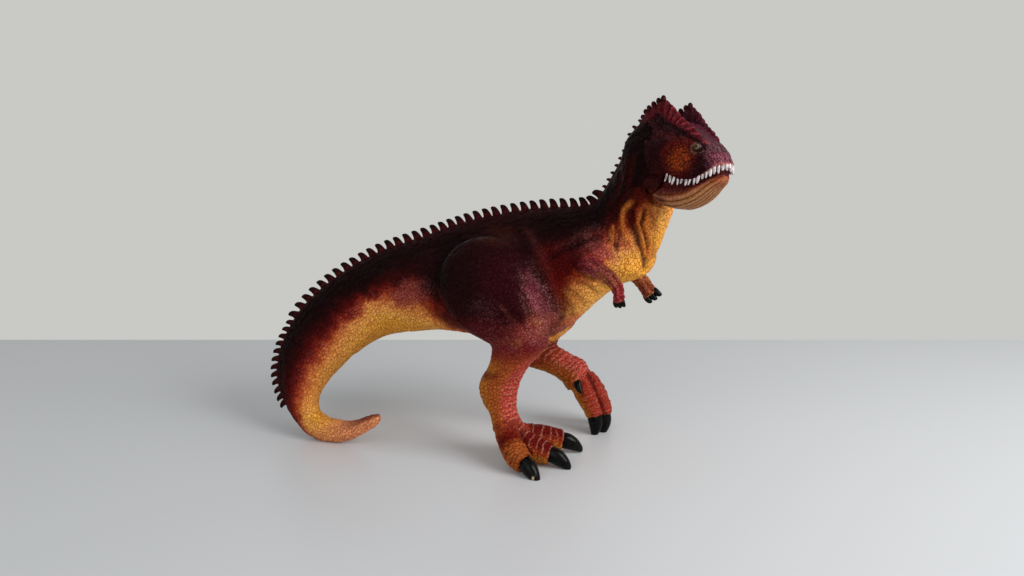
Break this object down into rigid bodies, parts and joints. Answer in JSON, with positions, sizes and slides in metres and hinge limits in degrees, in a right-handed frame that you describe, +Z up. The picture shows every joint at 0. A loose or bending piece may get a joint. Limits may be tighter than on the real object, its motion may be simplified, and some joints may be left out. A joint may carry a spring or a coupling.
{
  "type": "toy dinosaur figure",
  "caption": "Free-standing moulded figure of a two-legged meat-eating dinosaur with a curled tail, its head turned aside, and a lower jaw that opens on a hinge.",
  "frame": {"origin": "middle of the figure's box, at the height of the table it stands on", "axes": "+X the way the trunk points, +Y the figure's left side, +Z up"},
  "size_m": [0.2326, 0.084, 0.1696],
  "materials": {
    "skin": "soft vinyl, dark red and black paint over an orange-yellow base, satin",
    "jaw_skin": "soft vinyl, orange-yellow under maroon paint, satin",
    "shank_skin": "soft vinyl, maroon thigh and orange-red shank, satin",
    "pin_steel": "plain steel wire"
  },
  "bodies": {
    "figure": {"torso": "skin", "head": "skin", "jaw_pin": "pin_steel", "right_leg": "shank_skin", "left_leg": "shank_skin", "right_arm": "skin", "left_arm": "skin"},
    "jaw": {"lower_jaw": "jaw_skin"}
  },
  "joints": [
    {"name": "jaw_hinge", "type": "hinge", "parent": "figure", "child": "jaw", "pos_m": [0.08624, -0.0113, 0.13337], "axis": [0.4777, 0.8675, -0.1384], "range_deg": [0, 24]}
  ]
}
